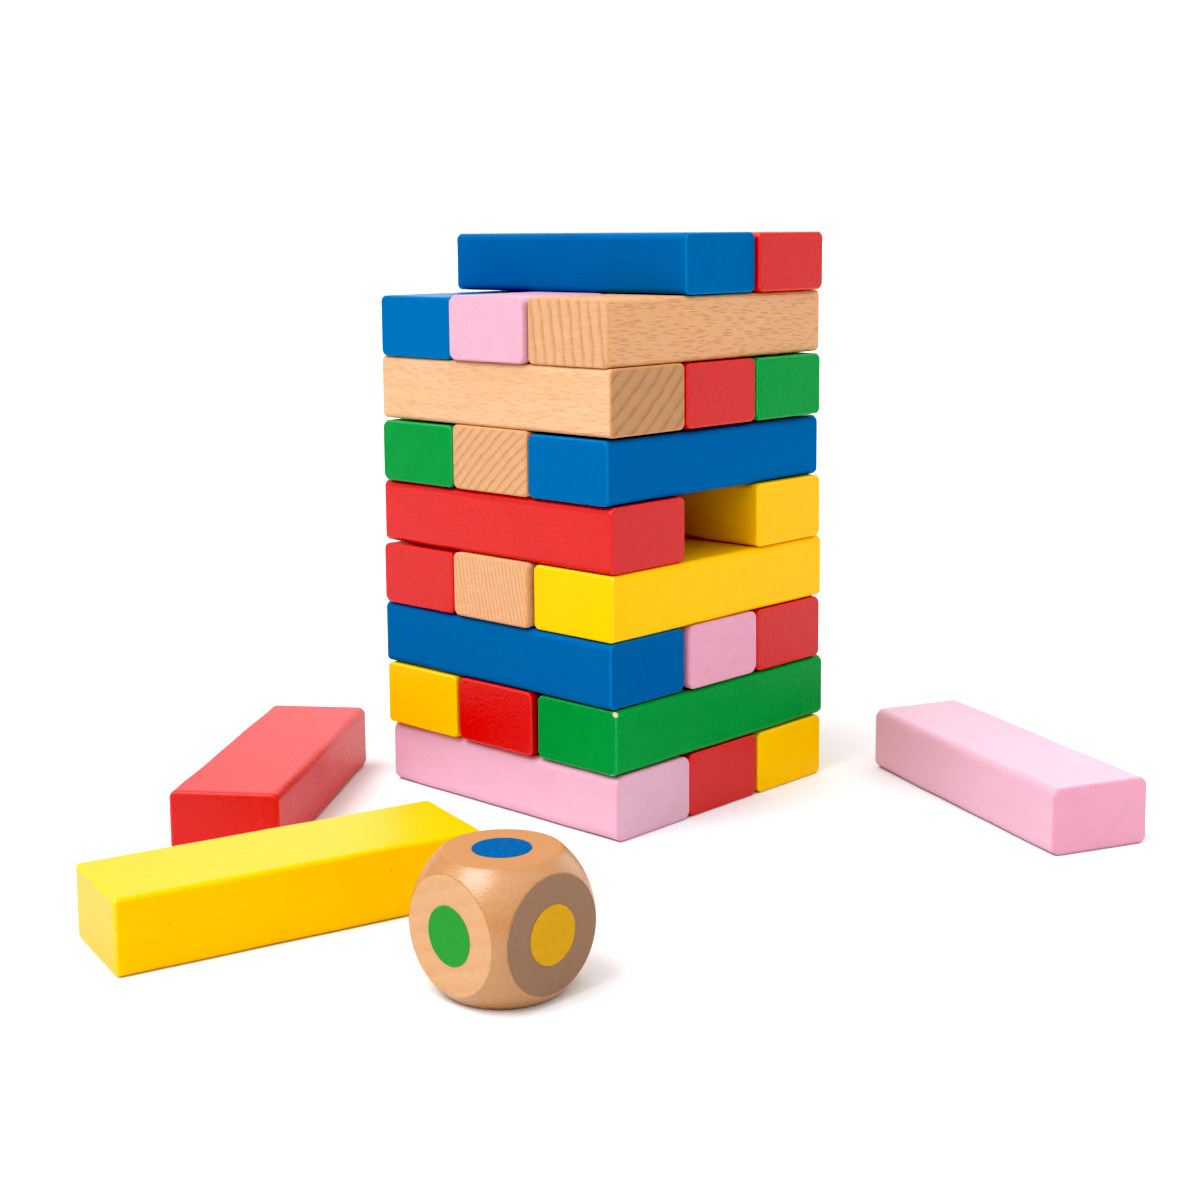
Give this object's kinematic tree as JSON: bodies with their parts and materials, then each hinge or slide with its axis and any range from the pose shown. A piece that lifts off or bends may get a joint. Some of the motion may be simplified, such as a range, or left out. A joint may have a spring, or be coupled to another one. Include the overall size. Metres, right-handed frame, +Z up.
{
  "type": "wooden tumbling tower game",
  "caption": "Stacking tower of coloured wooden blocks in crossed layers, part-way through a game, with drawn blocks and a colour die beside it; each block slides out.",
  "frame": {"origin": "under the middle of the tower, on the surface that it stands on", "axes": "+Z up, -Y the tower's front face, +X its right face; odd layers' blocks run along X and even layers' along Y"},
  "size_m": [0.195, 0.2256, 0.1334],
  "materials": {
    "red_paint": "satin lacquer over beech",
    "yellow_paint": "satin lacquer over beech",
    "green_paint": "satin lacquer over beech",
    "blue_paint": "satin lacquer over beech",
    "pink_paint": "satin lacquer over beech",
    "bare_beech": "sanded and tumbled, unpainted",
    "varnished_beech": "clear satin varnish"
  },
  "bodies": {
    "layer1_front_pink": {"layer1_front_pink": "pink_paint"},
    "layer1_middle_red": {"layer1_middle_red": "red_paint"},
    "layer1_back_yellow": {"layer1_back_yellow": "yellow_paint"},
    "layer2_left_yellow": {"layer2_left_yellow": "yellow_paint"},
    "layer2_middle_red": {"layer2_middle_red": "red_paint"},
    "layer2_right_green": {"layer2_right_green": "green_paint"},
    "layer3_front_blue": {"layer3_front_blue": "blue_paint"},
    "layer3_middle_pink": {"layer3_middle_pink": "pink_paint"},
    "layer3_back_red": {"layer3_back_red": "red_paint"},
    "layer4_left_red": {"layer4_left_red": "red_paint"},
    "layer4_middle_natural": {"layer4_middle_natural": "bare_beech"},
    "layer4_right_yellow": {"layer4_right_yellow": "yellow_paint"},
    "layer5_front_red": {"layer5_front_red": "red_paint"},
    "layer5_back_yellow": {"layer5_back_yellow": "yellow_paint"},
    "layer6_left_green": {"layer6_left_green": "green_paint"},
    "layer6_middle_natural": {"layer6_middle_natural": "bare_beech"},
    "layer6_right_blue": {"layer6_right_blue": "blue_paint"},
    "layer7_front_natural": {"layer7_front_natural": "bare_beech"},
    "layer7_middle_red": {"layer7_middle_red": "red_paint"},
    "layer7_back_green": {"layer7_back_green": "green_paint"},
    "layer8_left_blue": {"layer8_left_blue": "blue_paint"},
    "layer8_middle_pink": {"layer8_middle_pink": "pink_paint"},
    "layer8_right_natural": {"layer8_right_natural": "bare_beech"},
    "layer9_middle_blue": {"layer9_middle_blue": "blue_paint"},
    "layer9_back_red": {"layer9_back_red": "red_paint"},
    "loose_yellow": {"loose_yellow": "yellow_paint"},
    "loose_red": {"loose_red": "red_paint"},
    "loose_pink": {"loose_pink": "pink_paint"},
    "die": {"die": "varnished_beech", "die_spot_blue": "blue_paint", "die_spot_green": "green_paint", "die_spot_yellow": "yellow_paint", "die_spot_red": "red_paint", "die_spot_pink": "pink_paint"}
  },
  "joints": [
    {"name": "layer1_front_pink_slide", "type": "slide", "parent": "layer1_middle_red", "child": "layer1_front_pink", "axis": [1, 0, 0], "range_m": [-0.012, 0.08]},
    {"name": "layer1_back_yellow_slide", "type": "slide", "parent": "layer1_middle_red", "child": "layer1_back_yellow", "axis": [-1, 0, 0], "range_m": [-0.035, 0.08]},
    {"name": "layer2_left_yellow_slide", "type": "slide", "parent": "layer1_middle_red", "child": "layer2_left_yellow", "axis": [0, 1, 0], "range_m": [-0.08, 0.08]},
    {"name": "layer2_middle_red_slide", "type": "slide", "parent": "layer1_middle_red", "child": "layer2_middle_red", "axis": [0, 1, 0], "range_m": [-0.08, 0.08]},
    {"name": "layer2_right_green_slide", "type": "slide", "parent": "layer1_middle_red", "child": "layer2_right_green", "axis": [0, 1, 0], "range_m": [-0.08, 0.08]},
    {"name": "layer3_front_blue_slide", "type": "slide", "parent": "layer1_middle_red", "child": "layer3_front_blue", "axis": [1, 0, 0], "range_m": [-0.08, 0.08]},
    {"name": "layer3_middle_pink_slide", "type": "slide", "parent": "layer1_middle_red", "child": "layer3_middle_pink", "axis": [1, 0, 0], "range_m": [-0.08, 0.08]},
    {"name": "layer3_back_red_slide", "type": "slide", "parent": "layer1_middle_red", "child": "layer3_back_red", "axis": [-1, 0, 0], "range_m": [-0.08, 0.08]},
    {"name": "layer4_left_red_slide", "type": "slide", "parent": "layer1_middle_red", "child": "layer4_left_red", "axis": [0, 1, 0], "range_m": [-0.08, 0.08]},
    {"name": "layer4_middle_natural_slide", "type": "slide", "parent": "layer1_middle_red", "child": "layer4_middle_natural", "axis": [0, 1, 0], "range_m": [-0.08, 0.08]},
    {"name": "layer4_right_yellow_slide", "type": "slide", "parent": "layer1_middle_red", "child": "layer4_right_yellow", "axis": [0, 1, 0], "range_m": [-0.08, 0.08]},
    {"name": "layer5_front_red_slide", "type": "slide", "parent": "layer1_middle_red", "child": "layer5_front_red", "axis": [1, 0, 0], "range_m": [-0.08, 0.08]},
    {"name": "layer5_back_yellow_slide", "type": "slide", "parent": "layer1_middle_red", "child": "layer5_back_yellow", "axis": [-1, 0, 0], "range_m": [-0.08, 0.08]},
    {"name": "layer6_left_green_slide", "type": "slide", "parent": "layer1_middle_red", "child": "layer6_left_green", "axis": [0, 1, 0], "range_m": [-0.08, 0.08]},
    {"name": "layer6_middle_natural_slide", "type": "slide", "parent": "layer1_middle_red", "child": "layer6_middle_natural", "axis": [0, 1, 0], "range_m": [-0.08, 0.08]},
    {"name": "layer6_right_blue_slide", "type": "slide", "parent": "layer1_middle_red", "child": "layer6_right_blue", "axis": [0, 1, 0], "range_m": [-0.08, 0.08]},
    {"name": "layer7_front_natural_slide", "type": "slide", "parent": "layer1_middle_red", "child": "layer7_front_natural", "axis": [1, 0, 0], "range_m": [-0.08, 0.08]},
    {"name": "layer7_middle_red_slide", "type": "slide", "parent": "layer1_middle_red", "child": "layer7_middle_red", "axis": [1, 0, 0], "range_m": [-0.08, 0.08]},
    {"name": "layer7_back_green_slide", "type": "slide", "parent": "layer1_middle_red", "child": "layer7_back_green", "axis": [-1, 0, 0], "range_m": [-0.08, 0.08]},
    {"name": "layer8_left_blue_slide", "type": "slide", "parent": "layer1_middle_red", "child": "layer8_left_blue", "axis": [0, 1, 0], "range_m": [-0.08, 0.08]},
    {"name": "layer8_middle_pink_slide", "type": "slide", "parent": "layer1_middle_red", "child": "layer8_middle_pink", "axis": [0, 1, 0], "range_m": [-0.08, 0.08]},
    {"name": "layer8_right_natural_slide", "type": "slide", "parent": "layer1_middle_red", "child": "layer8_right_natural", "axis": [0, 1, 0], "range_m": [-0.08, 0.08]},
    {"name": "layer9_middle_blue_slide", "type": "slide", "parent": "layer1_middle_red", "child": "layer9_middle_blue", "axis": [1, 0, 0], "range_m": [-0.08, 0.08]},
    {"name": "layer9_back_red_slide", "type": "slide", "parent": "layer1_middle_red", "child": "layer9_back_red", "axis": [-1, 0, 0], "range_m": [-0.08, 0.08]},
    {"name": "loose_yellow_lift", "type": "slide", "parent": "layer1_middle_red", "child": "loose_yellow", "axis": [0, 0, 1], "range_m": [0, 0.15]},
    {"name": "loose_red_lift", "type": "slide", "parent": "layer1_middle_red", "child": "loose_red", "axis": [0, 0, 1], "range_m": [0, 0.15]},
    {"name": "loose_pink_lift", "type": "slide", "parent": "layer1_middle_red", "child": "loose_pink", "axis": [0, 0, 1], "range_m": [0, 0.15]},
    {"name": "die_roll", "type": "hinge", "parent": "layer1_middle_red", "child": "die", "pos_m": [0.0884, -0.10822, 0], "axis": [0.0175, 0.9998, 0], "range_deg": [0, 90]}
  ]
}
